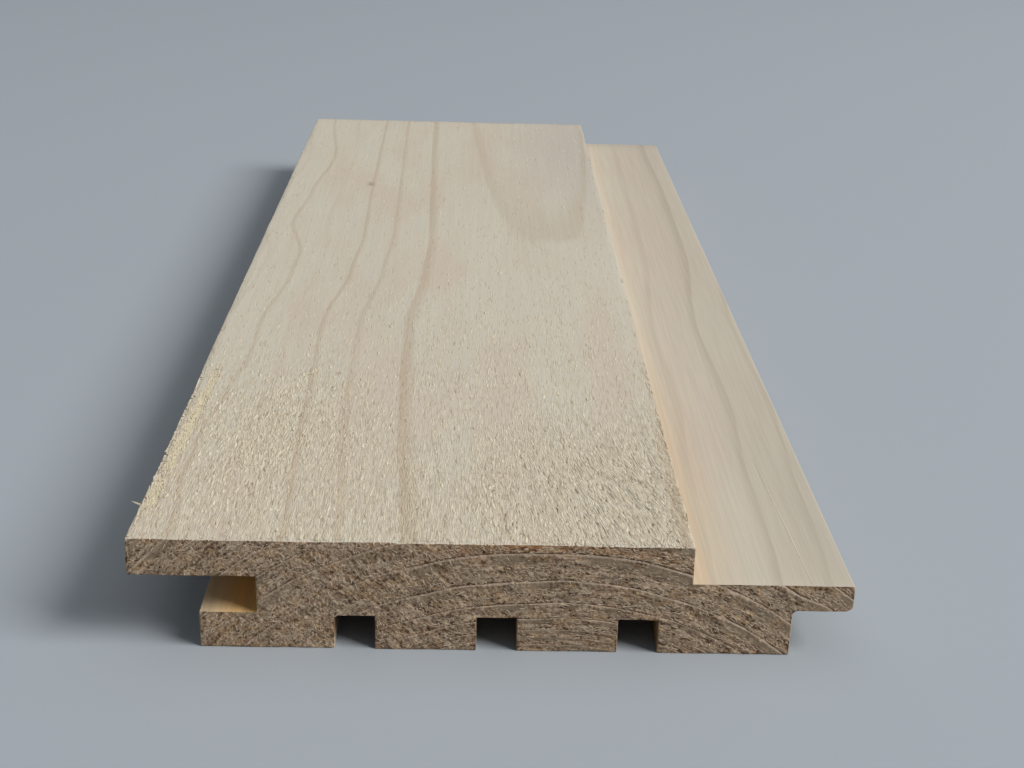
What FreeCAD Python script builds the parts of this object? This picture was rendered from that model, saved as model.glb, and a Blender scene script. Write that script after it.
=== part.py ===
# Tongue and groove cladding board, a short length of spruce cut square at both ends.
# One piece of wood: a moulded section carried along the grain, with relief grooves in its back.
# Frame: +X from the groove to the tongue, +Y along the grain, +Z up through the show face.
# The origin is on the underside, at the middle of the overall width and length. Sizes are in millimetres.

import FreeCAD, Part
import os
import Sketcher

NODE = "board"

# Alias, value in millimetres (or a count), and what it measures.
SIZES = [
    ("board_length", 320, "along the grain, between the two saw cuts"),
    ("overall_width", 120, "from the edge of the face lip to the tip of the tongue"),
    ("board_thickness", 20, "from the underside to the show face"),
    ("lip_overhang", 11.5, "how far the face lip stands out past the lower lip"),
    ("lip_thickness", 6.7, "face lip, from the groove's upper cheek to the show face"),
    ("groove_depth", 9.5, "from the edge of the lower lip to the bottom of the groove"),
    ("groove_height", 6.6, "between the groove's two cheeks"),
    ("rebate_width", 27, "from the step in the face to the tip of the tongue"),
    ("cheek_clearance", 0.1, "between the tongue's face and the upper cheek of a joined groove"),
    ("tongue_length", 10, "from the board's lower edge to the tip of the tongue"),
    ("tongue_thickness", 4.8, "between the tongue's face and its underside"),
    ("tongue_nose_radius", 1.2, "rounding under the tip of the tongue, which leads it into a groove"),
    ("tongue_arris_radius", 0.4, "easing of the tongue's upper tip"),
    ("tongue_root_radius", 1, "fillet where the tongue's underside meets the lower edge"),
    ("relief_count", 3, "number of relief grooves in the underside"),
    ("relief_width", 6.7, "each relief groove, across the board"),
    ("relief_depth", 6.2, "each relief groove, up from the underside"),
    ("relief_pitch", 23.6, "from one relief groove to the next"),
]

# Places in the section that several faces are measured from.
LIP_EDGE = "-Sizes.overall_width / 2"
TONGUE_TIP = "Sizes.overall_width / 2"
UPPER_CHEEK = "Sizes.board_thickness - Sizes.lip_thickness"
TONGUE_FACE = UPPER_CHEEK + " - Sizes.cheek_clearance"

# The faces in order round the section, whether each runs across or up it, and where it lies:
# its height above the origin if it runs across, or its distance to the right if it runs up.
BOARD_OUTLINE = [
    ("underside", "across", "0"),
    ("lower_edge", "up", TONGUE_TIP + " - Sizes.tongue_length"),
    ("tongue_underside", "across", TONGUE_FACE + " - Sizes.tongue_thickness"),
    ("tongue_tip", "up", TONGUE_TIP),
    ("tongue_face", "across", TONGUE_FACE),
    ("step", "up", TONGUE_TIP + " - Sizes.rebate_width"),
    ("show_face", "across", "Sizes.board_thickness"),
    ("lip_edge", "up", LIP_EDGE),
    ("upper_cheek", "across", UPPER_CHEEK),
    ("groove_bottom", "up", LIP_EDGE + " + Sizes.lip_overhang + Sizes.groove_depth"),
    ("lower_cheek", "across", UPPER_CHEEK + " - Sizes.groove_height"),
    ("lower_lip_edge", "up", LIP_EDGE + " + Sizes.lip_overhang"),
]

# The row of relief grooves is centred on the underside, which the lips and the tongue overhang.
UNDERSIDE_MIDDLE = "(Sizes.lip_overhang - Sizes.tongue_length) / 2"
FIRST_RELIEF_MIDDLE = UNDERSIDE_MIDDLE + " - (Sizes.relief_count - 1) * Sizes.relief_pitch / 2"
RELIEF_OUTLINE = [
    ("mouth", "across", "0"),
    ("right_side", "up", FIRST_RELIEF_MIDDLE + " + Sizes.relief_width / 2"),
    ("roof", "across", "Sizes.relief_depth"),
    ("left_side", "up", FIRST_RELIEF_MIDDLE + " - Sizes.relief_width / 2"),
]

# How a sketch numbers the ends of a line and its own origin, which is also where its x axis starts.
START, END = 1, 2
ORIGIN = X_AXIS = -1

CONFUSION = 1e-6


def make_sheet(doc):
    """The driving dimensions, one aliased cell each."""
    sheet = doc.addObject("Spreadsheet::Sheet", "Sizes")
    for row, (alias, value, meaning) in enumerate(SIZES, start=1):
        sheet.set(f"A{row}", alias)
        sheet.set(f"B{row}", str(value))
        sheet.set(f"C{row}", meaning)
        sheet.setAlias(f"B{row}", alias)
    doc.recompute()
    return sheet


def section_sketch(body, name):
    """A sketch across the board: its x axis is the width, and its y axis the thickness."""
    plane = next(f for f in body.Origin.OriginFeatures if f.Role == "XZ_Plane")
    sketch = body.newObject("Sketcher::SketchObject", name)
    sketch.AttachmentSupport = (plane, [""])
    sketch.MapMode = "FlatFace"
    return sketch


def corner(first, second, place):
    """The point where two neighbouring faces of an outline meet."""
    across, up = (first, second) if first[1] == "across" else (second, first)
    return FreeCAD.Vector(place[up[0]], place[across[0]], 0)


def draw_outline(sketch, outline):
    """The closed outline, each face held where its formula says. Returns the faces' places."""
    place = {face: sketch.evalExpression(formula) for face, _, formula in outline}
    before = outline[-1:] + outline[:-1]
    after = outline[1:] + outline[:1]
    lines = []
    for earlier, face, later in zip(before, outline, after):
        segment = Part.LineSegment(corner(earlier, face, place), corner(face, later, place))
        lines.append(sketch.addGeometry(segment))
    for line, following in zip(lines, lines[1:] + lines[:1]):
        sketch.addConstraint(Sketcher.Constraint("Coincident", line, END, following, START))
    for line, (face, direction, formula) in zip(lines, outline):
        across = direction == "across"
        sketch.addConstraint(Sketcher.Constraint("Horizontal" if across else "Vertical", line))
        if place[face] == 0 and across:
            sketch.addConstraint(Sketcher.Constraint("PointOnObject", line, START, X_AXIS))
            continue
        kind = "DistanceY" if across else "DistanceX"
        distance = Sketcher.Constraint(kind, ORIGIN, START, line, START, place[face])
        sketch.renameConstraint(sketch.addConstraint(distance), face)
        sketch.setExpression(f"Constraints.{face}", formula)
    return place


def moulded_blank(body):
    """The whole section without its relief grooves, carried along the grain."""
    sketch = section_sketch(body, "MouldedSection")
    place = draw_outline(sketch, BOARD_OUTLINE)
    pad = body.newObject("PartDesign::Pad", "MouldedBlank")
    pad.Profile = sketch
    pad.SideType = "Symmetric"
    pad.setExpression("Length", "Sizes.board_length")
    return pad, place


def edges_along_grain(shape, x, z):
    """Names of the edges that run the board's length through that point of the section."""
    names = []
    for number, edge in enumerate(shape.Edges, start=1):
        if all(abs(v.X - x) < CONFUSION and abs(v.Z - z) < CONFUSION for v in edge.Vertexes):
            names.append(f"Edge{number}")
    return names


def ease(body, base, name, x, z, radius_formula):
    """Rounds one long edge of the base feature."""
    body.Document.recompute()
    names = edges_along_grain(base.Shape, x, z)
    if len(names) != 1:
        raise RuntimeError(f"{name}: expected one edge at ({x}, {z}), found {len(names)}")
    fillet = body.newObject("PartDesign::Fillet", name)
    fillet.Base = (base, names)
    fillet.setExpression("Radius", radius_formula)
    return fillet


def eased_tongue(body, blank, place):
    """The tongue's rounded nose, eased upper tip and filleted root."""
    tip, root = place["tongue_tip"], place["lower_edge"]
    face, under = place["tongue_face"], place["tongue_underside"]
    nose = ease(body, blank, "TongueNose", tip, under, "Sizes.tongue_nose_radius")
    arris = ease(body, nose, "TongueArris", tip, face, "Sizes.tongue_arris_radius")
    return ease(body, arris, "TongueRoot", root, under, "Sizes.tongue_root_radius")


def relief_grooves(body):
    """Square grooves along the underside, which keep the board from cupping."""
    sketch = section_sketch(body, "ReliefSection")
    draw_outline(sketch, RELIEF_OUTLINE)
    pocket = body.newObject("PartDesign::Pocket", "ReliefGroove")
    pocket.Profile = sketch
    pocket.Type = "ThroughAll"
    pocket.SideType = "Symmetric"
    pattern = body.newObject("PartDesign::LinearPattern", "ReliefGrooves")
    pattern.Originals = [pocket]
    pattern.Direction = (sketch, ["H_Axis"])
    pattern.Mode = "Spacing"
    pattern.setExpression("Offset", "Sizes.relief_pitch")
    pattern.setExpression("Occurrences", "Sizes.relief_count")
    body.Tip = pattern


def check(doc, body, before_grooves, sheet):
    """Stops with a message if a feature failed or a groove cut nothing."""
    for item in doc.Objects:
        if "Invalid" in item.State or "Error" in item.State:
            raise RuntimeError(f"{item.Label} did not compute: {item.State}")
    shape = body.Shape
    if shape.isNull() or not shape.isValid() or len(shape.Solids) != 1:
        raise RuntimeError("the board is not one valid solid")
    groove_volume = sheet.relief_width * sheet.relief_depth * sheet.board_length
    removed = before_grooves.Shape.Volume - shape.Volume
    if abs(removed - sheet.relief_count * groove_volume) > CONFUSION * removed:
        raise RuntimeError(f"the relief grooves removed {removed:.1f} cubic millimetres")


def main():
    doc = FreeCAD.newDocument("tongue_and_groove_board")
    sheet = make_sheet(doc)
    body = doc.addObject("PartDesign::Body", "Board")
    body.Label = NODE
    blank, place = moulded_blank(body)
    eased = eased_tongue(body, blank, place)
    relief_grooves(body)
    doc.recompute()
    check(doc, body, eased, sheet)
    os.makedirs("parts", exist_ok=True)
    body.Shape.exportStep(os.path.join("parts", f"{body.Label}.step"))
    box = body.Shape.BoundBox
    print(f"{body.Label}: {box.XLength:.2f} x {box.YLength:.2f} x {box.ZLength:.2f} mm, "
          f"{body.Shape.Volume / 1000:.1f} cm3")


main()
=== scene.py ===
# Looks of a short length of tongue and groove cladding: fine-sawn spruce on its show face, planed on its
# moulded faces and cross-cut at both ends. The wood is one closed mesh that follows the CAD section, with
# the saw's relief in its geometry, and the fibres that the saw lifted are small closed slivers on it.
# Sizes are in millimetres, in the CAD model's frame: +X towards the tongue, +Y along the grain, +Z up.

import math

import bpy
import numpy as np
from mathutils import Matrix, Vector
from mathutils.geometry import delaunay_2d_cdt


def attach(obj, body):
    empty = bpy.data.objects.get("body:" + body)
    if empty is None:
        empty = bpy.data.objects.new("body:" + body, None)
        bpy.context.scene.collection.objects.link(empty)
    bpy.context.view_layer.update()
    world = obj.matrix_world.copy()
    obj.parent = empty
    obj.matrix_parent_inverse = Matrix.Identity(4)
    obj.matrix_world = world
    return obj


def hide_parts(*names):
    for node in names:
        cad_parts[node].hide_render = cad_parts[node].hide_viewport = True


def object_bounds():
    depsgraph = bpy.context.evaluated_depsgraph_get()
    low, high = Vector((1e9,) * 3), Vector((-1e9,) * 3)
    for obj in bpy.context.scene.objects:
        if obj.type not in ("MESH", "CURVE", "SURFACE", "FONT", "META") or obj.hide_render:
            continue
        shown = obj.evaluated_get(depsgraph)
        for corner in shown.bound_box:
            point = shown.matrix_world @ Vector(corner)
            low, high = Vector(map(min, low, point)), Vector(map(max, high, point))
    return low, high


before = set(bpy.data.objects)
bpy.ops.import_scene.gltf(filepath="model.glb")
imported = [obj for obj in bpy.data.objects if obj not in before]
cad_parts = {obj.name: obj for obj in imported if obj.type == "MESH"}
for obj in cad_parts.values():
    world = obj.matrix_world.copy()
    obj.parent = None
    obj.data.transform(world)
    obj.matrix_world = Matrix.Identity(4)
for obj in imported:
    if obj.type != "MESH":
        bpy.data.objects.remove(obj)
cad_low, cad_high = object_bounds()

MM = 0.001
NODE = "board"
SEED = 787

LEFT, FRONT, BOTTOM = (value / MM for value in cad_low)
RIGHT, REAR, TOP = (value / MM for value in cad_high)

# How finely the wood is sampled.
SAWN_COLUMN = 0.6
PLANED_COLUMN = 4.0
FIRST_STATION, LAST_STATION = 1.0, 2.3
STATIONS_SKIPPED = 3
FRONT_END_SPACING, REAR_END_SPACING = 0.26, 0.34
ARRIS = 0.2
FINE_BELOW_ARRIS = 1.0
SMOOTH_TURN = math.radians(35)
TOUCHING = 0.01

# The pith runs along the board below it, and climbs towards the rear. The rings spread wider to the left of
# it, more so further from it, and wander a little everywhere.
PITH_X, PITH_Z = 11.0, -47.0
PITH_CLIMB = 0.005
STRETCH_LEFT, STRETCH_GAIN, STRETCH_RIGHT = 0.74, 0.0025, 0.99
RING_WANDER = 0.2
MEAN_RADIUS = 62.0

# Where the rings swell: how much, between which places along the grain, and the middle and reach in x.
SWELLS = ((4.0, -40.0, 200.0, 17.0, 21.0), (1.8, -20.0, 20.0, 29.0, 9.0))

# How the rings sway: each pair is a place along the grain and how far they have moved right. The first sway
# ends over a range of x, the lip's is added to it by the lip, and the channel's starts past the step. The
# rings in the tip of the tongue are shifted besides.
SWAY = ((-160, 0.0), (-100, -1.6), (-55, -1.8), (-15, 1.6), (15, 3.0), (160, 2.4))
SWAY_ENDS = -14, 4
LIP_SWAY = (
    (-160, 0.0), (-138, -1.0), (-119, 0.0), (-95, 2.2), (-76, 4.2), (-42, 4.0),
    (-6, 3.4), (28, -2.3), (60, 0.0), (101, 3.0), (160, -1.0),
)
LIP_SWAY_ENDS = -50, -38
CHANNEL_SWAY = ((-160, 0.0), (-145, 0.7), (-120, 0.7), (-79, 2.2), (-36, 1.2), (25, 3.8), (160, 3.0))
CHANNEL_SWAY_STARTS = 33.5, 37.5
TIP_SHIFT = 2.0
TIP_STARTS = 50, 56

# Where the rings' edges are, measured from the pith, and how strong the dark late wood of each ring is.
RING_RADII = (
    36, 40, 43, 45.3, 47, 48.4, 49.8, 51.3, 53.5, 56.3,
    60.4, 65.6, 70.5, 74.2, 78, 83.5, 89, 95, 101,
)
RING_STRENGTHS = (0.3, 0.6, 0.3, 0.7, 0.4, 0.6, 0.3, 0.5, 0.4, 0.7, 0.5, 0.85, 0.6, 0.8, 0.2, 0.7, 0.3, 0.5)

# The ring that resin colours on the ends, and the ranges of x over which that starts and ends.
RESIN_RADIUS, RESIN_REACH = 67.0, 1.4
RESIN_STARTS, RESIN_ENDS = (-14, 2), (20, 34)

# Patches of the show face: middle x and y, reach in x and y, and strength. The saw tore it most in the first
# ones. In the next the fibres lean over, and then come those where tufts stand, a pin knot and duller wood.
FUZZ_PATCHES = (
    (-42, -118, 17, 29, 0.75),
    (24, -142, 24, 32, 0.85),
    (-8, -160, 60, 30, 0.55),
    (0, -90, 60, 50, 0.12),
)
FUZZ_EVERYWHERE = 0.035
LEAN_PATCH = (27, -142, 20, 26, 1.0)
LEAN = math.radians(16)
TUFT_PATCHES = (
    (-42, -119, 13, 26, 1.7),
    (25, -144, 17, 20, 1.5),
    (-5, -120, 30, 25, 0.15),
)
TUFTS_EVERYWHERE = 0.06
PIN_KNOT = (-35.2, 70.3, 0.9, 1.6, 1.0)
DULL_PATCH = (30, 120, 20, 75, 1.0)

# The torn strip just in from the lip's upper edge, further in at its rear end, and a nick in that edge.
TORN_FROM, TORN_TO = -154.0, -76.0
TORN_FIRST, TORN_LAST = 1.6, 3.6
TORN_REACH, TORN_DEPTH = 1.1, 0.22
NICK_Y, NICK_WIDTH, NICK_DEPTH = -98.0, 0.9, 0.5

# Heights of the relief that the saw and the planer left, and what the edges round the show face have lost.
TUFT_RELIEF, SAW_LINE_RELIEF, WAVE_RELIEF, LEAN_RELIEF = 0.07, 0.008, 0.04, 0.15
PLANED_RELIEF = 0.02
END_RELIEF, LATE_PROUD, END_SUNK = 0.13, 0.08, 0.05
LIP_RUBBED, LIP_WEAR, STEP_WEAR, RIM_WEAR = 0.2, 0.1, 0.12, 0.08

# The way the cross-cut saw combed the ends' fibres over, and where it did so.
COMB_ANGLE = math.radians(-42)
COMB_MIDDLE, COMB_REACH = -16.0, 20.0

# Fibres that stand off the surface: how many, their usual length with its spread and limits, their least and
# most width, and how far the tips are lifted as a rule and at most. The scatter of their headings is in
# degrees.
FACE_FIBRES = 22000
FACE_FIBRE_SIZES = (2.3, 0.35, 1.0, 4.5), (0.26, 0.56), (0.014, 0.09)
FACE_FIBRE_SCATTER = 4
TUFTS = 6000
TUFT_SIZES = (1.7, 0.3, 0.9, 3.2), (0.4, 0.85), (0.04, 0.22)
TUFT_SCATTER = 7
TORN_FIBRES = 1000
TORN_FIBRE_SIZES = (1.1, 0.35, 0.6, 2.4), (0.25, 0.6), (0.04, 0.2)
TORN_FIBRE_SCATTER = 22
END_FIBRES = 9000
END_FIBRE_SIZES = (0.9, 0.35, 0.5, 1.9), (0.14, 0.32), (0.03, 0.16)
RIM_FIBRES = 140
RIM_FIBRE_LENGTH, RIM_FIBRE_WIDTH = (0.2, 0.5), (0.15, 0.35)

# How far fibres keep from the edges of the show face and of the ends, and how many places are tried for each.
FACE_MARGIN, STEP_MARGIN, RIM_MARGIN, END_MARGIN = 0.3, 0.2, 0.2, 0.15
FACE_TRIES, TORN_TRIES = 5, 6

# Bigger splinters: root, heading, length, width and how far the tip is lifted.
SPLINTERS = (
    ((-59.6, -147.0, 19.6), (-0.9, 0.35, 0.06), 2.3, 0.6, 0.2),
    ((-38.6, -86.4, 20.0), (1.0, 0.1, 0.02), 2.2, 0.6, 0.3),
    ((-32.4, -85.0, 20.0), (1.0, -0.15, 0.02), 1.8, 0.5, 0.25),
)

# A thread of grain that stands up from the tongue's face: its two ends in x and y, and its width.
THREAD_FRONT, THREAD_REAR = (53.0, -159.4), (50.9, -108.0)
THREAD_WIDTH = 0.7

# The ring lines on faces cut along the grain: their share of the late wood's colour, and how far through each
# ring they begin.
SAWN_RINGS = 0.42, 0.78
PLANED_RINGS = 0.34, 0.74

# Roughness of each of the wood's surfaces, the depth of its finest relief, and the strength of every sheen.
SAWN_ROUGHNESS, PLANED_ROUGHNESS, END_ROUGHNESS, FIBRE_ROUGHNESS = 0.82, 0.62, 0.85, 0.75
SAWN_BUMP, PLANED_BUMP, END_BUMP = 0.3, 0.03, 0.5
SHEEN = 0.25

FLOOR_SIZE = 6000.0

# Soft lights: name, heading from the board, distance, size and power in watts.
SOFTBOXES = (
    ("window", (0.70, -0.27, 0.65), 4000.0, 2000.0, 152.0),
    ("ceiling", (0.0, 0.2, 0.98), 2000.0, 2400.0, 8.5),
)
SKY_STRENGTH = 0.165

CAMERA_PLACE = (-4.43, -386.57, 138.35)
CAMERA_DOWN, CAMERA_RIGHT, CAMERA_ROLL = 21.70, 1.65, 1.71
CAMERA_LENS = 54.9
SENSOR = 36.0


def srgb(red, green, blue):
    """A colour as seen on a screen, from 0 to 255, as Blender's linear value."""
    parts = [c / 255 for c in (red, green, blue)]
    return (*[c / 12.92 if c <= 0.04045 else ((c + 0.055) / 1.055) ** 2.4 for c in parts], 1)


CREAM = srgb(209, 203, 187)
ROSY = srgb(208, 197, 180)
FACE_DULL = srgb(197, 190, 178)
LATE = srgb(176, 150, 120)
YELLOW = srgb(224, 213, 182)
DARK_FIBRE = srgb(194, 182, 160)
# The lifted fibres' paler colour, also laid on the raised flecks of the show face as painted highlight.
PALE_FIBRE_AND_HIGHLIGHT = srgb(224, 215, 193)
# Painted shade for the hollows of the show face's relief, and a darker one for its deepest hollows.
PIT_SHADE = srgb(172, 150, 122)
DEEP_PIT_SHADE = srgb(142, 122, 97)
PIN_KNOT_COLOUR = srgb(128, 92, 62)
PLANED_CREAM = srgb(205, 197, 180)
PLANED_ROSY = srgb(205, 193, 177)
# Painted light: the warmer colour that light bounced off the step's wall gives the channel at its foot.
PLANED_STEP_BOUNCE = srgb(196, 165, 124)
PLANED_DULL = srgb(194, 186, 170)
PLANED_LATE = srgb(160, 147, 128)
# Painted shade for inside the groove, warm from light bounced between its wooden cheeks.
PAINTED_GROOVE_SHADE = srgb(218, 172, 98)
SHADED = srgb(142, 112, 78)
END_EARLY = srgb(165, 140, 116)
END_WARM = srgb(171, 138, 101)
END_RESIN = srgb(160, 110, 64)
END_LATE = srgb(147, 131, 110)
# The dark of the ends' painted shade, in the hollows of their relief and below each ring's step, also used
# for their rays.
END_SHADE_AND_RAYS = srgb(82, 60, 45)
# The end fibres' paler colour, also laid on the raised specks of the end's relief as painted highlight.
END_PALE_FIBRE_AND_HIGHLIGHT = srgb(224, 202, 174)
# Painted highlight on the proud edge of each ring's late wood on the ends.
END_RIDGE_HIGHLIGHT = srgb(206, 182, 158)
FLOOR_COLOUR = srgb(171, 179, 187)
SKY_COLOUR = srgb(236, 244, 255)
KEY_COLOUR = srgb(255, 252, 248)


# Repeatable noise

HASH_MASK = 0xFFFFFFFF


def lattice(x, y, z, seed):
    """A random value from -1 to 1 for each lattice point, the same on every run."""
    mixed = (x * 374761393 + y * 668265263 + z * 974634259 + seed * 1274126177) & HASH_MASK
    mixed = ((mixed ^ (mixed >> 13)) * 1274126177) & HASH_MASK
    return ((mixed ^ (mixed >> 16)) & 0xFFFF) / 32767.5 - 1


def noise(points, cell, seed):
    """Smooth values from -1 to 1 that change over about one cell, given as its size in x, y and z."""
    scaled = points / np.array(cell)
    base = np.floor(scaled).astype(np.int64)
    part = scaled - base
    part = part * part * (3 - 2 * part)
    total = np.zeros(len(points))
    for corner in np.ndindex(2, 2, 2):
        weight = np.prod(np.where(corner, part, 1 - part), axis=1)
        total += weight * lattice(*(base + corner).T, SEED + seed)
    return total


def fade(value, start, end):
    """Rises smoothly from 0 at start to 1 at end."""
    share = np.clip((value - start) / (end - start), 0, 1)
    return share * share * (3 - 2 * share)


# The section, read off the CAD model

def cad_outline():
    """Corners of the section in order, anticlockwise seen from the front, as (x, z)."""
    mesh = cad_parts[NODE].data
    corners = [tuple(round(value / MM, 3) for value in vertex.co) for vertex in mesh.vertices]
    front = min(y for _, y, _ in corners)
    rim = set()
    for polygon in mesh.polygons:
        loop = [corners[i] for i in polygon.vertices]
        if any(y != front for _, y, _ in loop):
            continue
        flat = [(x, z) for x, _, z in loop]
        for edge in zip(flat, flat[1:] + flat[:1]):
            if edge[::-1] in rim:
                rim.remove(edge[::-1])
            else:
                rim.add(edge)
    following = dict(rim)
    outline = [min(following)]
    while following[outline[-1]] != outline[0]:
        outline.append(following[outline[-1]])
    return np.array(outline)


def turns(outline):
    """How far the outline turns at each corner, to the left where positive."""
    ahead = np.roll(outline, -1, axis=0) - outline
    behind = np.roll(ahead, 1, axis=0)
    cross = behind[:, 0] * ahead[:, 1] - behind[:, 1] * ahead[:, 0]
    return np.arctan2(cross, (behind * ahead).sum(axis=1))


def on_top(point):
    return point[1] > TOP - TOUCHING


def spread(start, end, spacing):
    """Even steps from start to end, no further apart than the spacing."""
    return np.linspace(start, end, max(1, math.ceil((end - start) / spacing)) + 1)


def columns(outline):
    """The section resampled: points (x, z), outward normals, which are on the show face and which are fine.
    Sharp outer corners are eased by the arris, and the fine ones carry every station along the grain."""
    sharp = turns(outline) > SMOOTH_TURN
    points, shown, fine = [], [], []
    for i, start in enumerate(outline):
        after = (i + 1) % len(outline)
        end = outline[after]
        length = math.dist(start, end)
        along = (end - start) / length
        show = on_top(start) and on_top(end)
        spacing = SAWN_COLUMN if show else PLANED_COLUMN
        stops = spread(ARRIS * sharp[i], length - ARRIS * sharp[after], spacing)
        beside_show = np.array([2 * ARRIS, 3 * ARRIS, FINE_BELOW_ARRIS])
        if on_top(start) and not show:
            stops = np.union1d(stops, beside_show)
        if on_top(end) and not show:
            stops = np.union1d(stops, length - beside_show)
        for stop in stops:
            points.append(start + along * stop)
            shown.append(show)
            fine.append(points[-1][1] > TOP - FINE_BELOW_ARRIS - TOUCHING)
        if sharp[after]:
            leaving = outline[(i + 2) % len(outline)] - end
            leaving = leaving / np.linalg.norm(leaving)
            points.append(end + (leaving - along) * ARRIS * (1 - math.sqrt(0.5)))
            shown.append(on_top(end))
            fine.append(on_top(end))
    points = np.array(points)
    apart = np.linalg.norm(points - np.roll(points, 1, axis=0), axis=1) > TOUCHING
    points = points[apart]
    heading = np.roll(points, -1, axis=0) - np.roll(points, 1, axis=0)
    heading /= np.linalg.norm(heading, axis=1)[:, None]
    normals = np.column_stack((heading[:, 1], -heading[:, 0]))
    return points, normals, np.array(shown)[apart], np.array(fine)[apart]


SECTION = cad_outline()
STEP = SECTION[SECTION[:, 1] > TOP - TOUCHING][:, 0].max()
_, LOWER_LIP, GROOVE_BOTTOM = np.unique(SECTION[:, 0])[:3]
TONGUE_FACE = SECTION[SECTION[:, 0] == STEP][:, 1].min()
LOWER_CHEEK, UPPER_CHEEK = np.unique(SECTION[SECTION[:, 0] == GROOVE_BOTTOM][:, 1])
RELIEF_ROOF = np.unique(SECTION[:, 1])[1]
_, *RELIEF_SIDES, _ = np.unique(SECTION[SECTION[:, 1] < BOTTOM + TOUCHING][:, 0])


# The wood's structure and the marks of its making

def sway(y, pairs):
    """How far right the rings have moved at a place along the grain."""
    place, moved = np.transpose(pairs)
    before = np.clip(np.searchsorted(place, y) - 1, 0, len(place) - 2)
    share = fade(y, place[before], place[before + 1])
    return moved[before] + (moved[before + 1] - moved[before]) * share


def growth(points):
    """How far each point is from the pith, and how far round it."""
    x, y, z = points.T
    moved = sway(y, SWAY) * (1 - fade(x, *SWAY_ENDS)) + sway(y, LIP_SWAY) * (1 - fade(x, *LIP_SWAY_ENDS))
    moved += sway(y, CHANNEL_SWAY) * fade(x, *CHANNEL_SWAY_STARTS) + TIP_SHIFT * fade(x, *TIP_STARTS)
    aside = x - PITH_X - moved
    across = aside * np.where(aside < 0, STRETCH_LEFT - STRETCH_GAIN * aside, STRETCH_RIGHT)
    height = z - PITH_Z - PITH_CLIMB * (y - FRONT)
    for most, start, end, middle, reach in SWELLS:
        height -= most * fade(y, start, end) * np.exp(-((x - middle) / reach) ** 2)
    wander = RING_WANDER * noise(points, (24, 60, 24), 1) + RING_WANDER * noise(points, (6, 50, 6), 2)
    return np.hypot(across, height) + wander, np.arctan2(across, height) * MEAN_RADIUS


def ring_number(points):
    """Counts growth rings outwards from the pith, and runs evenly from one ring's edge to the next."""
    return np.interp(growth(points)[0], RING_RADII, np.arange(len(RING_RADII)))


def latewood(points):
    """0 in a ring's early wood, rising to 1 in the dense wood at its outer edge."""
    return fade(ring_number(points) % 1, 0.5, 0.75)


def patch(points, place):
    """A soft patch seen from above, strongest in its middle."""
    mid_x, mid_y, reach_x, reach_y, most = place
    return most * np.exp(-((points[:, 0] - mid_x) / reach_x) ** 2 - ((points[:, 1] - mid_y) / reach_y) ** 2)


def fuzz(points):
    """How strongly the saw tore the show face, from 0 to 1."""
    strength = FUZZ_EVERYWHERE + sum(patch(points, place) for place in FUZZ_PATCHES)
    strength *= 1 + 0.45 * noise(points, (7, 18, 7), 3) + 0.3 * noise(points, (2.5, 7, 2.5), 4)
    return np.clip(strength, 0.015, 1)


def torn_middle(y):
    """How far in from the lip's edge the middle of the torn strip is."""
    return np.interp(y, (TORN_FROM, TORN_TO), (TORN_FIRST, TORN_LAST))


def torn(points):
    """How far a point lies in the torn strip beside the lip's upper edge, from 0 to 1."""
    x, y, z = points.T
    along = fade(y, TORN_FROM, TORN_FROM + 12) * (1 - fade(y, TORN_TO - 30, TORN_TO))
    ragged = 0.8 + 0.5 * noise(points, (50, 9, 50), 5) + 0.3 * noise(points, (50, 2.6, 50), 6)
    aside = np.abs(np.hypot(x - LEFT, TOP - z) - torn_middle(y))
    inside = 1 - fade(aside, 0.6 * TORN_REACH, 1.1 * TORN_REACH)
    return np.clip(along * ragged, 0, 1) * inside


def sawn_relief(points):
    """Height of the show face above its nominal plane."""
    tufts = noise(points, (1.7, 6.5, 9), 10) + 0.5 * noise(points, (1.4, 3.5, 9), 11)
    saw_lines = noise(points, (40, 1.9, 40), 12)
    waves = noise(points, (22, 46, 22), 13)
    relief = TUFT_RELIEF * fuzz(points) * tufts + SAW_LINE_RELIEF * saw_lines + WAVE_RELIEF * waves
    x, y, z = points.T
    leaning = np.column_stack((
        x * math.cos(LEAN) + y * math.sin(LEAN),
        y * math.cos(LEAN) - x * math.sin(LEAN),
        z,
    ))
    relief += LEAN_RELIEF * patch(points, LEAN_PATCH) * noise(leaning, (1.5, 5, 9), 15)
    return relief - TORN_DEPTH * torn(points) * (0.8 + 0.6 * noise(points, (1.5, 4, 1.5), 14))


def planed_relief(points):
    """Height of a moulded face: flat, but for the faint unevenness of machined wood."""
    return PLANED_RELIEF * noise(points, (14, 40, 14), 20)


def edge_wear(points):
    """How much the edges round the show face have lost to knocks, the lip's most."""
    x, y, z = points.T
    nick = NICK_DEPTH * np.exp(-((y - NICK_Y) / NICK_WIDTH) ** 2)
    rubbed = LIP_RUBBED * fade(y, TORN_FROM, TORN_FROM + 20) * (1 - fade(y, TORN_TO - 20, TORN_TO))
    uneven = 1 + 0.9 * noise(points, (7, 7, 90), 21) + 0.6 * noise(points, (2.2, 2.2, 90), 22)
    lip = (1 - fade(np.hypot(x - LEFT, z - TOP), 0.2, 1.3)) * (nick + rubbed + LIP_WEAR * uneven)
    step = (1 - fade(np.hypot(x - STEP, z - TOP), 0.2, 1.1)) * STEP_WEAR * uneven
    from_end = np.minimum(y - FRONT, REAR - y)
    rim = (1 - fade(np.hypot(from_end, z - TOP), 0.2, 1.3)) * RIM_WEAR * uneven
    return np.maximum(lip, np.maximum(step, rim))


def combed(points):
    """Where the cross-cut saw combed the end's fibres over, from 0 to 1."""
    return 0.1 + 0.7 * np.exp(-((points[:, 0] - COMB_MIDDLE) / COMB_REACH) ** 2)


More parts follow.
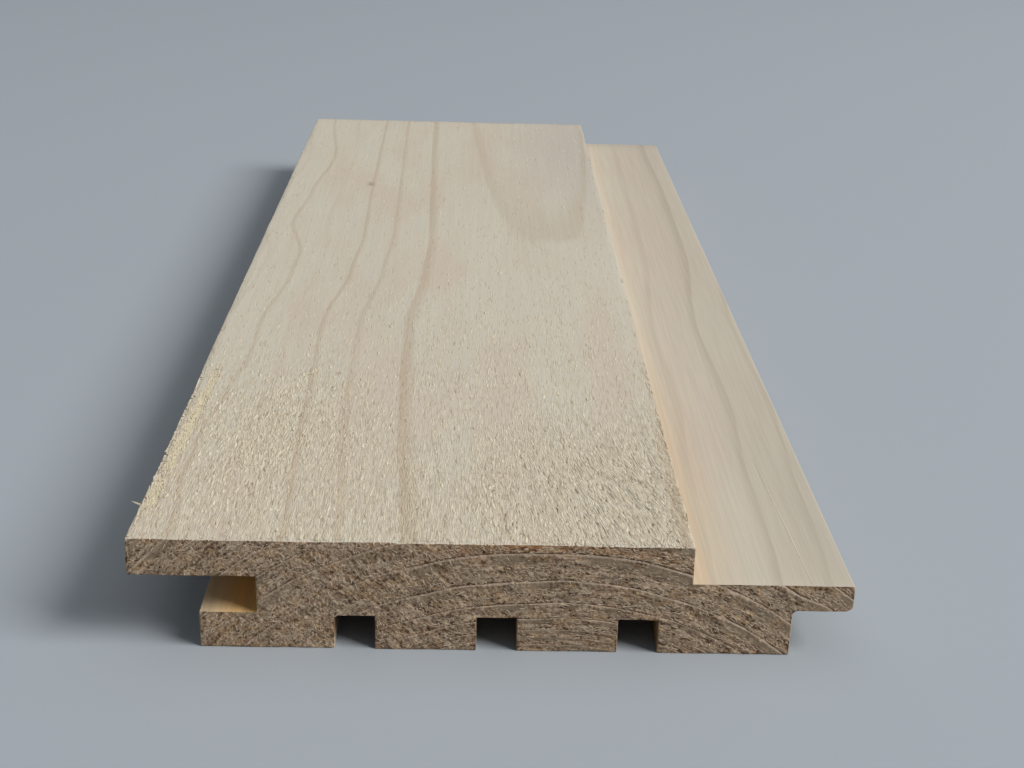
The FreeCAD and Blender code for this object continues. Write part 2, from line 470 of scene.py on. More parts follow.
def resin(points):
    """How much the early wood of one ring is coloured by resin on the ends, from 0 to 1."""
    x = points[:, 0]
    across = fade(x, *RESIN_STARTS) * (1 - fade(x, *RESIN_ENDS))
    return across * np.exp(-((growth(points)[0] - RESIN_RADIUS) / RESIN_REACH) ** 2)


def crispness(points):
    """How clearly the rings' edges show on the ends, from 0.1 to 1: least round the groove."""
    x = points[:, 0]
    clear = 0.3 + 0.7 * fade(x, -24, 2) + 0.4 * (1 - fade(x, -46, -30))
    return np.clip(clear + 0.45 * noise(points, (7, 60, 7), 34), 0.1, 1)


def end_relief(points):
    """Height of a cross-cut end: early wood torn in layers, and late wood left smooth and proud."""
    radius, around = growth(points)
    x, y, z = points.T
    rolled = np.column_stack((around, radius, y))
    sweep = np.column_stack((
        x * math.cos(COMB_ANGLE) + z * math.sin(COMB_ANGLE),
        z * math.cos(COMB_ANGLE) - x * math.sin(COMB_ANGLE),
        y,
    ))
    layers = 2 * np.abs(noise(rolled, (4.5, 1.0, 9), 30)) - 0.8
    combing = 2.2 * np.abs(noise(sweep, (2.6, 1.0, 9), 32)) - 0.9
    share = combed(points)
    late = latewood(points) * crispness(points)
    rough = (1 - share) * layers + share * combing + 0.35 * noise(points, (0.9, 9, 0.9), 33)
    return END_RELIEF * (1 - 0.8 * late) * rough + LATE_PROUD * late - END_SUNK


# The board's mesh

def stations():
    """Places along the grain, closest at the front. The second list says which the moulded faces use."""
    mean_station = (FIRST_STATION + LAST_STATION) / 2
    count = STATIONS_SKIPPED * round((REAR - FRONT) / mean_station / STATIONS_SKIPPED)
    travelled = np.concatenate(([0], np.cumsum(np.linspace(FIRST_STATION, LAST_STATION, count))))
    places = FRONT + ARRIS + travelled / travelled[-1] * (REAR - FRONT - 2 * ARRIS)
    places = np.concatenate(([FRONT], places, [REAR]))
    coarse = np.concatenate(([0], np.arange(1, len(places) - 1, STATIONS_SKIPPED), [len(places) - 1]))
    return places, coarse


def clearance(outline, spots):
    """How far each spot (x, z) is inside the outline. Spots outside it get a distance of 0."""
    inside = np.zeros(len(spots), bool)
    clear = np.full(len(spots), np.inf)
    for a, b in zip(outline, np.roll(outline, -1, axis=0)):
        if a[1] != b[1]:
            spans = (a[1] > spots[:, 1]) != (b[1] > spots[:, 1])
            inside ^= spans & (spots[:, 0] < a[0] + (spots[:, 1] - a[1]) / (b[1] - a[1]) * (b[0] - a[0]))
        share = np.clip(((spots - a) @ (b - a)) / ((b - a) @ (b - a)), 0, 1)
        clear = np.minimum(clear, np.linalg.norm(spots - a - share[:, None] * (b - a), axis=1))
    return np.where(inside, clear, 0)


def inside_points(outline, spacing):
    """Points inside the section in staggered rows, shaken a little, clear of its outline."""
    rows = np.arange(BOTTOM + spacing / 2, TOP, spacing * math.sqrt(0.75))
    grid = []
    for k, z in enumerate(rows):
        x = np.arange(LEFT + spacing * (0.5 + 0.5 * (k % 2)), RIGHT, spacing)
        grid.append(np.column_stack((x, np.full(len(x), z))))
    grid = np.vstack(grid)
    grid += np.random.default_rng(SEED + 1).uniform(-0.3, 0.3, grid.shape) * spacing
    return grid[clearance(outline, grid) > 0.6 * spacing]


class WoodMesh:
    """The board's points and faces, each face's kind of surface, and a flat layout of them all."""

    SAWN, PLANED, END = range(3)

    def __init__(self):
        self.outline, self.normals, self.shown, self.fine = columns(SECTION)
        self.places, self.coarse = stations()
        reach = np.linalg.norm(np.roll(self.outline, -1, axis=0) - self.outline, axis=1)
        self.travel = np.concatenate(([0], np.cumsum(reach)))
        self.faces, self.kinds, self.layout = [], [], []
        self.place_sides()
        self.face_sides()
        self.cap(FRONT, -1, self.number[:, 0], FRONT_END_SPACING)
        self.cap(REAR, 1, self.number[:, -1], REAR_END_SPACING)

    def place_sides(self):
        """Numbers and places the points of the long faces, one where each column meets a station."""
        used = np.zeros((len(self.outline), len(self.places)), bool)
        used[self.fine] = True
        used[:, self.coarse] = True
        self.number = np.where(used, np.cumsum(used).reshape(used.shape) - 1, -1)
        column, station = np.nonzero(used)
        flat, normal = self.outline[column], self.normals[column]
        self.nominal = np.column_stack((flat[:, 0], self.places[station], flat[:, 1]))
        height = np.where(self.shown[column], sawn_relief(self.nominal), planed_relief(self.nominal))
        way = (station == len(self.places) - 1) * 1 - (station == 0) * 1
        height -= np.abs(way) * ARRIS * (1 - math.sqrt(0.5)) + edge_wear(self.nominal)
        self.placed = self.nominal.copy()
        self.placed[:, 0] += normal[:, 0] * height
        self.placed[:, 1] += way * end_relief(self.nominal)
        self.placed[:, 2] = np.maximum(self.placed[:, 2] + normal[:, 1] * height, BOTTOM)

    def add_face(self, kind, corners, layout):
        self.faces.append([int(corner) for corner in corners])
        self.kinds.append(kind)
        self.layout.extend(layout)

    def face_sides(self):
        """Joins each column to the next. A fine column beside a coarse one gives the face all its points."""
        every = np.arange(len(self.places))
        for left in range(len(self.outline)):
            right = (left + 1) % len(self.outline)
            steps = every if self.fine[left] and self.fine[right] else self.coarse
            kind = self.SAWN if self.shown[left] and self.shown[right] else self.PLANED
            for first, last in zip(steps[:-1], steps[1:]):
                rise = np.arange(first, last + 1) if self.fine[left] else np.array((first, last))
                fall = np.arange(first, last + 1)[::-1] if self.fine[right] else np.array((last, first))
                layout = [(self.travel[left], self.places[s] - FRONT) for s in rise]
                layout += [(self.travel[left + 1], self.places[s] - FRONT) for s in fall]
                corners = np.concatenate((self.number[left, rise], self.number[right, fall]))
                self.add_face(kind, corners, layout)

    def cap(self, y, way, rim, spacing):
        """Fills one end with small triangles. They face along y in the given way, 1 or -1."""
        inner = inside_points(self.outline, spacing)
        flat = np.vstack((self.outline, inner))
        border = list(range(len(self.outline)))
        _, _, triangles, sources, _, _ = delaunay_2d_cdt([Vector(p) for p in flat], [], [border], 1, 1e-5)
        nominal = np.insert(inner, 1, y, axis=1)
        placed = nominal.copy()
        placed[:, 1] += way * end_relief(nominal)
        number = np.concatenate((rim, np.arange(len(inner)) + len(self.placed)))
        self.nominal = np.vstack((self.nominal, nominal))
        self.placed = np.vstack((self.placed, placed))
        aside, along = self.travel[-1] + 4, (0 if way < 0 else RIGHT - LEFT + 4)
        for triangle in triangles:
            corners = [sources[i][0] for i in triangle][::-way]
            layout = [(aside + flat[c, 1], along + flat[c, 0] - LEFT) for c in corners]
            self.add_face(self.END, number[corners], layout)


def new_object(name, points, faces, materials, smooth=True):
    """A mesh object from points in millimetres."""
    mesh = bpy.data.meshes.new(name)
    mesh.from_pydata((np.asarray(points) * MM).tolist(), [], faces)
    for material in materials:
        mesh.materials.append(material)
    mesh.polygons.foreach_set("use_smooth", np.full(len(mesh.polygons), smooth))
    thing = bpy.data.objects.new(name, mesh)
    bpy.context.scene.collection.objects.link(thing)
    return thing


def write_values(piece, **values):
    """Named values at each point of the mesh, for its materials to read."""
    for name, numbers in values.items():
        attribute = piece.data.attributes.new(name, "FLOAT", "POINT")
        attribute.data.foreach_set("value", np.asarray(numbers, np.float32))


def write_layout(piece, corners):
    """A flat layout of the surface, one place for each face corner, scaled to fit the unit square."""
    corners = np.asarray(corners, np.float32)
    layer = piece.data.uv_layers.new(name="OFBake")
    layer.uv.foreach_set("vector", (corners / corners.max()).ravel())


def make_board(materials):
    wood = WoodMesh()
    board = new_object("spruce_board", wood.placed, wood.faces, materials)
    board.data.polygons.foreach_set("material_index", np.array(wood.kinds, np.int32))
    radius, around = growth(wood.nominal)
    x, y, z = wood.nominal.T
    past_step = x - STEP
    # Painted bounce light: warmer within a few millimetres past the step, where light bounces between its
    # wall and the channel, fading towards the rear.
    warm = 1 - 0.8 * fade(past_step, 1.6, 3.4) - 0.2 * fade(past_step, 3, 12)
    warm *= 1 - 0.7 * fade(y, -110, -30)
    in_groove = (x > LOWER_LIP) & (x < GROOVE_BOTTOM + TOUCHING) & (z > LOWER_CHEEK - TOUCHING)
    in_groove = in_groove & (z < UPPER_CHEEK + TOUCHING)
    in_relief = (x > RELIEF_SIDES[0] - 1) & (x < RELIEF_SIDES[-1] + 1)
    in_relief = in_relief & (z < RELIEF_ROOF + TOUCHING) & (z > ARRIS)
    dull_tongue = fade(past_step, 9, 25) * (1 - 0.5 * fade(y, -130, -50)) * (z > TONGUE_FACE - ARRIS)
    write_values(
        board,
        ring=ring_number(wood.nominal),
        radius=radius * MM,
        around=around * MM,
        fuzz=fuzz(wood.nominal),
        torn=torn(wood.nominal),
        # Painted bounce light, weaker on the step's wall than on the channel at its foot.
        warm=warm * (past_step > -TOUCHING) * np.where(z > TONGUE_FACE + ARRIS, 0.4, 1),
        # Painted warm shade inside the groove, deepening towards its bottom.
        amber=in_groove * (0.35 + 0.65 * fade(x, LOWER_LIP, GROOVE_BOTTOM)),
        shaded=in_relief * 1.0,
        dull=np.where(z > TOP - TOUCHING, patch(wood.nominal, DULL_PATCH), dull_tongue),
        combed=combed(wood.nominal),
        resin=resin(wood.nominal),
        crisp=crispness(wood.nominal),
        knot=patch(wood.nominal, PIN_KNOT),
    )
    write_layout(board, wood.layout)
    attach(board, "root")
    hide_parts(NODE)


# Lifted fibres

SPIKE = [(0, 1, 2), (0, 3, 1), (1, 3, 2), (2, 3, 0)]
BLADE = [(0, 1, 2), (0, 3, 4, 1), (1, 4, 5, 2), (2, 5, 3, 0), (3, 6, 4), (4, 6, 5), (5, 6, 3)]
CORNER_PLACES = {3: ((0, 0), (0.5, 1), (1, 0)), 4: ((0, 0), (0, 1), (1, 1), (1, 0))}


def slivers(name, shape, root, along, up, length, width, lift, material):
    """Closed three-sided slivers in one mesh, straight spikes or bent blades. Each starts in the wood, runs
    along the surface, and its tip stands clear of it by the lift."""
    half = np.cross(along, up) * (width / 2)[:, None]
    crest = up * ((0.13 if shape is BLADE else 0.09) * width)[:, None]
    sunk = root - 0.6 * crest
    middle = root + along * (0.55 * length)[:, None] + up * (0.4 * lift)[:, None]
    tip = root + along * length[:, None] + up * lift[:, None]
    rings = [sunk - half, sunk + half, sunk + 1.6 * crest]
    if shape is BLADE:
        rings += [middle - 0.8 * half, middle + 0.8 * half, middle + crest]
    rings.append(tip)
    points = np.stack(rings, axis=1).reshape(-1, 3)
    points[:, 2] = np.maximum(points[:, 2], BOTTOM)
    size = len(rings)
    faces = [[corner + size * k for corner in face] for k in range(len(root)) for face in shape]
    piece = new_object(name, points, faces, [material], smooth=False)
    write_values(
        piece,
        ring=np.repeat(ring_number(root), size),
        torn=np.repeat(torn(root), size),
        shade=np.repeat(np.random.default_rng(SEED + 2).random(len(root)), size),
    )
    write_layout(piece, sliver_layout(shape, len(root)))
    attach(piece, "root")


def sliver_layout(shape, count):
    """Gives each sliver a square of its own, and each of its faces a strip of that square."""
    strips = []
    for k, face in enumerate(shape):
        strips += [((k + 0.1 + 0.8 * x) / len(shape), 0.1 + 0.8 * y) for x, y in CORNER_PLACES[len(face)]]
    a_row = math.ceil(math.sqrt(count))
    square = np.arange(count)
    squares = np.column_stack((square % a_row, square // a_row))
    return (squares[:, None, :] + np.array(strips)[None, :, :]).reshape(-1, 2)


def unit(vectors):
    return vectors / np.linalg.norm(vectors, axis=1)[:, None]


def along_grain(draws, root, scatter):
    """Level headings along the grain, most of them one way, as the saw fed. One patch leans over."""
    slant = draws.normal(0, math.radians(scatter), len(root)) - LEAN * patch(root, LEAN_PATCH)
    way = np.where(draws.random(len(root)) < 0.8, 1, -1)
    return np.column_stack((np.sin(slant), np.cos(slant), np.zeros(len(root)))) * way[:, None]


def on_show_face(draws, wanted, strength):
    """Places drawn on the show face, more where the given strength is higher, laid on its relief."""
    tries = FACE_TRIES * wanted
    x = draws.uniform(LEFT + FACE_MARGIN, STEP - FACE_MARGIN, tries)
    y = draws.uniform(FRONT + FACE_MARGIN, REAR - FACE_MARGIN, tries)
    root = np.column_stack((x, y, np.full(tries, TOP)))
    root = root[draws.random(tries) < strength(root)][:wanted]
    root[:, 2] += sawn_relief(root)
    return root


def kept_on_face(root, along, length):
    """Turns back the fibres on the show face that would reach past its edges."""
    tip = root + along * length[:, None]
    past_side = (tip[:, 0] < LEFT + FACE_MARGIN) | (tip[:, 0] > STEP - STEP_MARGIN)
    past_end = (tip[:, 1] < FRONT + FACE_MARGIN) | (tip[:, 1] > REAR - FACE_MARGIN)
    turned = np.column_stack((np.where(past_side, -1, 1), np.where(past_end, -1, 1), np.ones(len(tip))))
    return along * turned


def drawn_lengths(draws, count, usual, spread, shortest, longest):
    return np.clip(draws.lognormal(math.log(usual), spread, count), shortest, longest)


def drawn_lifts(draws, count, usual, most):
    return np.minimum(draws.gamma(2.0, usual, count), most)


def drawn_sizes(draws, count, lengths, widths, lifts):
    """A length, a width and a lift of the tip for each fibre."""
    length = drawn_lengths(draws, count, *lengths)
    width = draws.uniform(*widths, count)
    return length, width, drawn_lifts(draws, count, *lifts)


def face_fibres(material):
    """Fine fibres that the saw lifted from the show face, thickest where it tore most."""
    draws = np.random.default_rng(SEED + 3)
    root = on_show_face(draws, FACE_FIBRES, fuzz)
    length, width, lift = drawn_sizes(draws, len(root), *FACE_FIBRE_SIZES)
    up = np.tile((0.0, 0.0, 1.0), (len(root), 1))
    along = kept_on_face(root, along_grain(draws, root, FACE_FIBRE_SCATTER), length)
    slivers("lifted_fibres", SPIKE, root, along, up, length, width, lift, material)


def tufted(points):
    """How thickly the tufts stand on the show face. From 1 up, every place tried gets one."""
    clumps = np.clip(0.75 + 1.1 * noise(points, (4.5, 8, 4.5), 7), 0, 1.6)
    patches = sum(patch(points, place) for place in TUFT_PATCHES)
    return fuzz(points) * clumps * (TUFTS_EVERYWHERE + patches)


def tufts(material):
    """Stubby tufts: close patches of them by the front end, and a few wherever the saw tore."""
    draws = np.random.default_rng(SEED + 6)
    root = on_show_face(draws, TUFTS, tufted)
    length, width, lift = drawn_sizes(draws, len(root), *TUFT_SIZES)
    up = np.tile((0.0, 0.0, 1.0), (len(root), 1))
    along = kept_on_face(root, along_grain(draws, root, TUFT_SCATTER), length)
    slivers("tufts", BLADE, root, along, up, length, width, lift, material)


def torn_fibres(material):
    """Fibres in the torn strip beside the lip's edge, bigger splinters, and whiskers on the ends' rims."""
    draws = np.random.default_rng(SEED + 5)
    tries = TORN_TRIES * TORN_FIBRES
    y = draws.uniform(TORN_FROM, TORN_TO, tries)
    x = LEFT + torn_middle(y) + TORN_REACH * draws.uniform(-1.1, 1.1, tries)
    root = np.column_stack((x, y, np.full(tries, TOP)))
    root = root[draws.random(tries) < torn(root)][:TORN_FIBRES]
    root[:, 2] += sawn_relief(root) - edge_wear(root)
    length, width, lift = drawn_sizes(draws, len(root), *TORN_FIBRE_SIZES)
    along = kept_on_face(root, along_grain(draws, root, TORN_FIBRE_SCATTER), length)
    rim_x = draws.uniform(LEFT + RIM_MARGIN, STEP - RIM_MARGIN, RIM_FIBRES)
    at_front = draws.random(RIM_FIBRES) < 0.5
    rim_y = np.where(at_front, FRONT + RIM_MARGIN, REAR - RIM_MARGIN)
    rim = np.column_stack((rim_x, rim_y, np.full(RIM_FIBRES, TOP - 0.05)))
    rim_lean = draws.normal(0, 0.35, (RIM_FIBRES, 2))
    rim_along = unit(np.column_stack((rim_lean[:, 0], np.where(at_front, -1, 1), rim_lean[:, 1] - 0.4)))
    big_root, big_heading, big_length, big_width, big_lift = (np.array(part) for part in zip(*SPLINTERS))
    root = np.vstack((root, rim, big_root))
    along = np.vstack((along, rim_along, unit(big_heading)))
    length = np.concatenate((length, draws.uniform(*RIM_FIBRE_LENGTH, RIM_FIBRES), big_length))
    width = np.concatenate((width, draws.uniform(*RIM_FIBRE_WIDTH, RIM_FIBRES), big_width))
    lift = np.concatenate((lift, np.zeros(RIM_FIBRES), big_lift))
    side = unit(np.cross(along, np.tile((0.0, 0.0, 1.0), (len(along), 1))))
    slivers("torn_fibres", BLADE, root, along, np.cross(side, along), length, width, lift, material)


def raised_thread(material):
    """One long thread of grain that the planer left standing on the tongue's face."""
    front, rear = (np.array([(*end, TONGUE_FACE)]) for end in (THREAD_FRONT, THREAD_REAR))
    length = np.linalg.norm(rear - front, axis=1)
    up = np.array([(0.0, 0.0, 1.0)])
    width = np.array([THREAD_WIDTH])
    slivers("raised_thread", SPIKE, front, unit(rear - front), up, length, width, 0.05 * width, material)


def end_fibres(material):
    """Stubs of fibre left on the two cross-cut ends, laid over along the rings or the way the saw went."""
    draws = np.random.default_rng(SEED + 4)
    lengths, widths, lifts = END_FIBRE_SIZES
    inner = inside_points(SECTION, REAR_END_SPACING)
    picked = np.concatenate([draws.choice(len(inner), END_FIBRES, replace=False) for _ in range(2)])
    way = np.repeat((-1.0, 1.0), END_FIBRES)
    root = np.insert(inner[picked], 1, np.where(way < 0, FRONT, REAR), axis=1)
    around = growth(root)[1] / MEAN_RADIUS
    slope = np.where(draws.random(len(root)) < combed(root), COMB_ANGLE, -around)
    scatter = draws.normal(0, 1 - 0.8 * crispness(root))
    slope += scatter + np.where(draws.random(len(root)) < 0.5, 0, math.pi)
    along = np.column_stack((np.cos(slope), np.zeros(len(root)), np.sin(slope)))
    length = drawn_lengths(draws, len(root), *lengths)
    tip = root + along * length[:, None]
    clear = clearance(SECTION, tip[:, (0, 2)]) > END_MARGIN
    kept = clear & (draws.random(len(root)) > 0.9 * latewood(root))
    root, along, length, way = root[kept], along[kept], length[kept], way[kept]
    root[:, 1] += way * end_relief(root)
    up = np.column_stack((np.zeros(len(root)), way, np.zeros(len(root))))
    width = draws.uniform(*widths, len(root))
    lift = drawn_lifts(draws, len(root), *lifts)
    slivers("end_grain_fibres", SPIKE, root, along, up, length, width, lift, material)


# Materials

class Nodes:
    """Short calls that build one material. A value is a number, a colour or another node's output."""

    def __init__(self, name):
        self.material = bpy.data.materials.new(name)
        self.material.use_nodes = True
        self.tree = self.material.node_tree
        self.shader = self.tree.nodes["Principled BSDF"]
        self.place = self.new("ShaderNodeTexCoord").outputs["Object"]

    def new(self, kind, **settings):
        node = self.tree.nodes.new(kind)
        for name, value in settings.items():
            setattr(node, name, value)
        return node

    def feed(self, socket, value):
        if isinstance(value, bpy.types.NodeSocket):
            self.tree.links.new(value, socket)
        else:
            socket.default_value = value

    def math(self, operation, *values):
        node = self.new("ShaderNodeMath", operation=operation)
        for socket, value in zip(node.inputs, values):
            self.feed(socket, value)
        return node.outputs[0]

    def times(self, first, second):
        return self.math("MULTIPLY", first, second)

    def value(self, name):
        """One of the mesh's own named values."""
        return self.new("ShaderNodeAttribute", attribute_name=name).outputs["Fac"]

    def rings(self, fray):
        """How far through its growth ring a place is, from 0 to 1, and how strong that ring's late wood is.
        The ring's edge is frayed along the grain by that share of a ring."""
        shake = self.math("SUBTRACT", self.grain((0.9, 25, 0.9), 3.0), 0.5)
        ring = self.math("MULTIPLY_ADD", shake, fray, self.value("ring"))
        ramp = self.new("ShaderNodeValToRGB")
        self.feed(ramp.inputs["Fac"], self.times(ring, 1 / len(RING_STRENGTHS)))
        stops = ramp.color_ramp
        stops.interpolation = "CONSTANT"
        stops.elements.remove(stops.elements[1])
        stops.elements[0].color = [RING_STRENGTHS[0]] * 4
        for number, strength in enumerate(RING_STRENGTHS[1:], start=1):
            stops.elements.new(number / len(RING_STRENGTHS)).color = [strength] * 4
        return self.math("FRACT", ring), ramp.outputs["Color"]

    def turned(self, angle):
        """A place in the wood, seen from the front after a turn about the grain."""
        node = self.new("ShaderNodeVectorRotate", rotation_type="Y_AXIS")
        self.feed(node.inputs["Vector"], self.place)
        self.feed(node.inputs["Angle"], angle)
        return node.outputs[0]

    def rolled(self):
        """A place in the wood as distance round the pith and distance from it."""
        node = self.new("ShaderNodeCombineXYZ")
        self.feed(node.inputs[0], self.value("around"))
        self.feed(node.inputs[1], self.value("radius"))
        return node.outputs[0]

    def rise(self, value, start, end, low=0.0, high=1.0):
        """Goes smoothly from low to high as the value goes from start to end."""
        node = self.new("ShaderNodeMapRange", interpolation_type="SMOOTHSTEP")
        for socket, given in zip(node.inputs, (value, start, end, low, high)):
            self.feed(socket, given)
        return node.outputs[0]

    def grain(self, cell, detail=2.0, place=None):
        """Noise from 0 to 1 whose cells have that size in x, y and z, in millimetres."""
        scaled = self.new("ShaderNodeVectorMath", operation="MULTIPLY")
        self.feed(scaled.inputs[0], place or self.place)
        self.feed(scaled.inputs[1], [1 / (size * MM) for size in cell])
        texture = self.new("ShaderNodeTexNoise")
        self.feed(texture.inputs["Vector"], scaled.outputs[0])
        self.feed(texture.inputs["Scale"], 1.0)
        self.feed(texture.inputs["Detail"], detail)
        return texture.outputs["Fac"]

    def blend(self, share, first, second, kind="MIX"):
        node = self.new("ShaderNodeMix", data_type="RGBA", blend_type=kind)
        self.feed(node.inputs[0], share)
        self.feed(node.inputs[6], first)
        self.feed(node.inputs[7], second)
        return node.outputs[2]

    def bump(self, height, depth):
        """A surface raised by the height, which runs from 0 to 1, times the depth in millimetres."""
        node = self.new("ShaderNodeBump")
        self.feed(node.inputs["Strength"], 1.0)
        self.feed(node.inputs["Distance"], depth * MM)
        self.feed(node.inputs["Height"], height)
        return node.outputs["Normal"]

    def done(self, colour, roughness, normal=None):
        self.feed(self.shader.inputs["Base Color"], colour)
        self.feed(self.shader.inputs["Roughness"], roughness)
        self.feed(self.shader.inputs["Specular IOR Level"], SHEEN)
        if normal is not None:
            self.feed(self.shader.inputs["Normal"], normal)
        return self.material


def tinted(nodes, pale, rosy):
    """The early wood's colour on a face cut along the grain."""
    return nodes.blend(nodes.rise(nodes.grain((14, 60, 14), 3.0), 0.38, 0.62), pale, rosy)


def ring_lines(nodes, colour, late_colour, share, start):
    """The colour with the late wood's dark lines laid over it. They begin that far through each ring."""
    phase, strength = nodes.rings(0.06)
    late = nodes.times(nodes.rise(phase, start, 0.94), nodes.rise(phase, 1.0, 0.96))
    return nodes.blend(nodes.times(nodes.times(late, strength), share), colour, late_colour)


def streaked(nodes, colour, share):
    """The colour with fine paler and darker streaks along the grain."""
    streak = nodes.rise(nodes.grain((0.6, 30, 0.6), 4.0), 0.3, 0.7, 1 - share, 1 + 0.7 * share)
    return nodes.blend(1.0, colour, streak, "MULTIPLY")


def sawn_face():
    nodes = Nodes("spruce_sawn_face")
    colour = nodes.blend(nodes.value("dull"), tinted(nodes, CREAM, ROSY), FACE_DULL)
    colour = ring_lines(nodes, colour, LATE, *SAWN_RINGS)
    colour = streaked(nodes, colour, 0.03)
    fuzz_share = nodes.value("fuzz")
    flecks = nodes.grain((0.5, 3.2, 2), 2.0)
    # Paler on the relief's raised flecks: the lifted fibres' paler colour with painted highlight.
    raised = nodes.times(nodes.rise(flecks, 0.52, 0.66), nodes.times(fuzz_share, 0.7))
    colour = nodes.blend(raised, colour, PALE_FIBRE_AND_HIGHLIGHT)
    # Painted shade in the hollows of the relief that the bump below raises, darkest where the saw tore most
    # and in the torn strip.
    sunk = nodes.times(nodes.rise(flecks, 0.48, 0.35), nodes.times(fuzz_share, 0.9))
    colour = nodes.blend(sunk, colour, PIT_SHADE)
    deep = nodes.times(nodes.rise(flecks, 0.47, 0.34), nodes.rise(fuzz_share, 0.6, 1.0))
    torn_deep = nodes.times(nodes.rise(flecks, 0.54, 0.42), nodes.value("torn"))
    colour = nodes.blend(nodes.math("MAXIMUM", deep, torn_deep), colour, DEEP_PIT_SHADE)
    colour = nodes.blend(nodes.times(nodes.value("knot"), 0.7), colour, PIN_KNOT_COLOUR)
    height = nodes.times(flecks, nodes.math("ADD", fuzz_share, 0.1))
    return nodes.done(colour, SAWN_ROUGHNESS, nodes.bump(height, SAWN_BUMP))


def planed_face():
    nodes = Nodes("spruce_planed_face")
    colour = tinted(nodes, PLANED_CREAM, PLANED_ROSY)
    colour = nodes.blend(nodes.value("dull"), colour, PLANED_DULL)
    # Painted bounce light from the step's wall, broken into streaks along the grain.
    warm_streaks = nodes.rise(nodes.grain((0.7, 80, 0.7), 2.0), 0.36, 0.6, 0.45, 0.95)
    colour = nodes.blend(nodes.times(nodes.value("warm"), warm_streaks), colour, PLANED_STEP_BOUNCE)
    # Painted warm shade inside the groove.
    colour = nodes.blend(nodes.value("amber"), colour, PAINTED_GROOVE_SHADE)
    colour = nodes.blend(nodes.value("shaded"), colour, SHADED)
    colour = streaked(nodes, ring_lines(nodes, colour, PLANED_LATE, *PLANED_RINGS), 0.045)
    knife_marks = nodes.grain((60, 1.1, 60), 0.0)
    pores = nodes.grain((0.25, 7, 0.25), 3.0)
    height = nodes.math("ADD", nodes.times(knife_marks, 0.4), pores)
    return nodes.done(colour, PLANED_ROUGHNESS, nodes.bump(height, PLANED_BUMP))


def end_grain():
    nodes = Nodes("spruce_end_grain")
    phase, strength = nodes.rings(0.04)
    rolled = nodes.rolled()
    crisp = nodes.value("crisp")
    seen = nodes.rise(nodes.grain((9, 60, 6), 1.0), 0.46, 0.6, 0.12, 0.95)
    late = nodes.times(nodes.rise(phase, 0.45, 0.75), nodes.times(seen, crisp))
    mottle = nodes.rise(nodes.grain((3.5, 60, 2.5), 2.0), 0.4, 0.62, 0.0, 0.7)
    cloud = nodes.rise(nodes.grain((2.6, 60, 1.5), 2.0), 0.36, 0.64, 0.78, 1.2)
    colour = nodes.blend(1.0, nodes.blend(mottle, END_EARLY, END_WARM), cloud, "MULTIPLY")
    colour = nodes.blend(nodes.times(nodes.value("resin"), 0.85), colour, END_RESIN)
    colour = nodes.blend(nodes.times(late, 0.85), colour, END_LATE)
    layers = nodes.grain((2.8, 0.64, 1), 2.0, rolled)
    combing = nodes.grain((2.4, 3, 0.62), 2.0, nodes.turned(COMB_ANGLE))
    from_layers = nodes.math("SUBTRACT", combing, layers)
    laid = nodes.math("MULTIPLY_ADD", from_layers, nodes.value("combed"), layers)
    grit = nodes.grain((0.5, 3, 0.5), 1.0)
    gritty = nodes.rise(crisp, 0.2, 0.9, 0.56, 0.42)
    specks = nodes.math("MULTIPLY_ADD", nodes.math("SUBTRACT", grit, laid), gritty, laid)
    rough = nodes.math("SUBTRACT", 1.0, nodes.times(late, 0.78))
    pitted = nodes.times(rough, nodes.rise(crisp, 0.2, 0.9, 0.72, 0.98))
    # Painted shade in the hollows of the end's relief, which the bump below raises.
    colour = nodes.blend(nodes.times(nodes.rise(specks, 0.5, 0.37), pitted), colour, END_SHADE_AND_RAYS)
    # Paler on the relief's raised specks: the fibres' paler colour with painted highlight.
    raised = nodes.times(nodes.rise(specks, 0.52, 0.63), nodes.times(rough, 0.75))
    colour = nodes.blend(raised, colour, END_PALE_FIBRE_AND_HIGHLIGHT)
    rays = nodes.rise(nodes.grain((0.22, 6, 1), 1.0, rolled), 0.62, 0.72, 0.0, 0.4)
    colour = nodes.blend(rays, colour, END_SHADE_AND_RAYS)
    # Painted highlight on each ring's proud late wood just inside its edge, and painted shadow just outside
    # it, below the step.
    edge = nodes.times(nodes.rise(strength, 0.0, 0.7, 0.5, 0.85), crisp)
    colour = nodes.blend(nodes.times(nodes.rise(phase, 0.91, 0.95), edge), colour, END_RIDGE_HIGHLIGHT)
    colour = nodes.blend(nodes.times(nodes.rise(phase, 0.08, 0.03), edge), colour, END_SHADE_AND_RAYS)
    return nodes.done(colour, END_ROUGHNESS, nodes.bump(nodes.times(specks, rough), END_BUMP))


def fibre(name, low, high, ring_share=0.0):
    nodes = Nodes(name)
    colour = nodes.blend(nodes.value("shade"), low, high)
    colour = ring_lines(nodes, colour, LATE, ring_share, SAWN_RINGS[1])
    colour = nodes.blend(nodes.times(nodes.value("torn"), 0.6), colour, YELLOW)
    return nodes.done(colour, FIBRE_ROUGHNESS)


# Floor, lights and camera

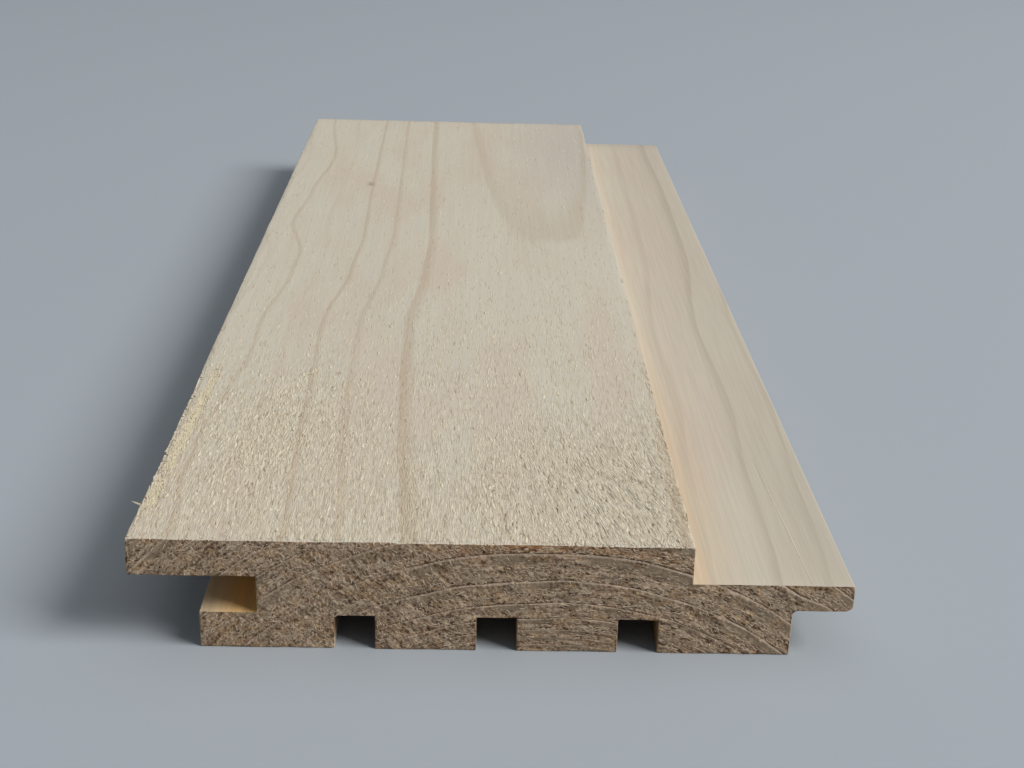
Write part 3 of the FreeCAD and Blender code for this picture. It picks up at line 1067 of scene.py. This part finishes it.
def make_floor():
    nodes = Nodes("pale_floor")
    reach = FLOOR_SIZE / 2
    corners = [(x * reach, y * reach, BOTTOM) for x, y in ((-1, -1), (1, -1), (1, 1), (-1, 1))]
    new_object("floor", corners, [(0, 1, 2, 3)], [nodes.done(FLOOR_COLOUR, 0.8)], smooth=False)


def make_lights():
    world = bpy.data.worlds.new("soft_sky")
    bpy.context.scene.world = world
    world.use_nodes = True
    sky = world.node_tree.nodes["Background"]
    sky.inputs["Color"].default_value = SKY_COLOUR
    sky.inputs["Strength"].default_value = SKY_STRENGTH
    for name, heading, distance, size, power in SOFTBOXES:
        lamp = bpy.data.lights.new(name, "AREA")
        lamp.shape = "SQUARE"
        lamp.size = size * MM
        lamp.energy = power
        lamp.color = KEY_COLOUR[:3]
        softbox = bpy.data.objects.new(name, lamp)
        heading = Vector(heading).normalized()
        softbox.location = heading * distance * MM
        softbox.rotation_euler = (-heading).to_track_quat("-Z", "Y").to_euler()
        bpy.context.scene.collection.objects.link(softbox)


def make_camera():
    lens = bpy.data.cameras.new("camera")
    lens.sensor_width = SENSOR
    lens.lens = CAMERA_LENS
    lens.clip_start = 0.01
    camera = bpy.data.objects.new("camera", lens)
    bpy.context.scene.collection.objects.link(camera)
    turn = Matrix.Rotation(math.radians(-CAMERA_RIGHT), 4, "Z")
    tilt = Matrix.Rotation(math.radians(90 - CAMERA_DOWN), 4, "X")
    roll = Matrix.Rotation(math.radians(CAMERA_ROLL), 4, "Z")
    camera.matrix_world = Matrix.Translation(Vector(CAMERA_PLACE) * MM) @ turn @ tilt @ roll
    bpy.context.scene.camera = camera
    bpy.context.scene.view_settings.view_transform = "Standard"


planed = planed_face()
make_board([sawn_face(), planed, end_grain()])
face_fibres(fibre("spruce_face_fibre", DARK_FIBRE, PALE_FIBRE_AND_HIGHLIGHT, SAWN_RINGS[0]))
tufts(fibre("spruce_tuft", DARK_FIBRE, PALE_FIBRE_AND_HIGHLIGHT, SAWN_RINGS[0]))
torn_fibres(fibre("spruce_torn_fibre", DARK_FIBRE, YELLOW))
raised_thread(planed)
end_fibres(fibre("spruce_end_fibre", END_EARLY, END_PALE_FIBRE_AND_HIGHLIGHT))
make_floor()
make_lights()
make_camera()
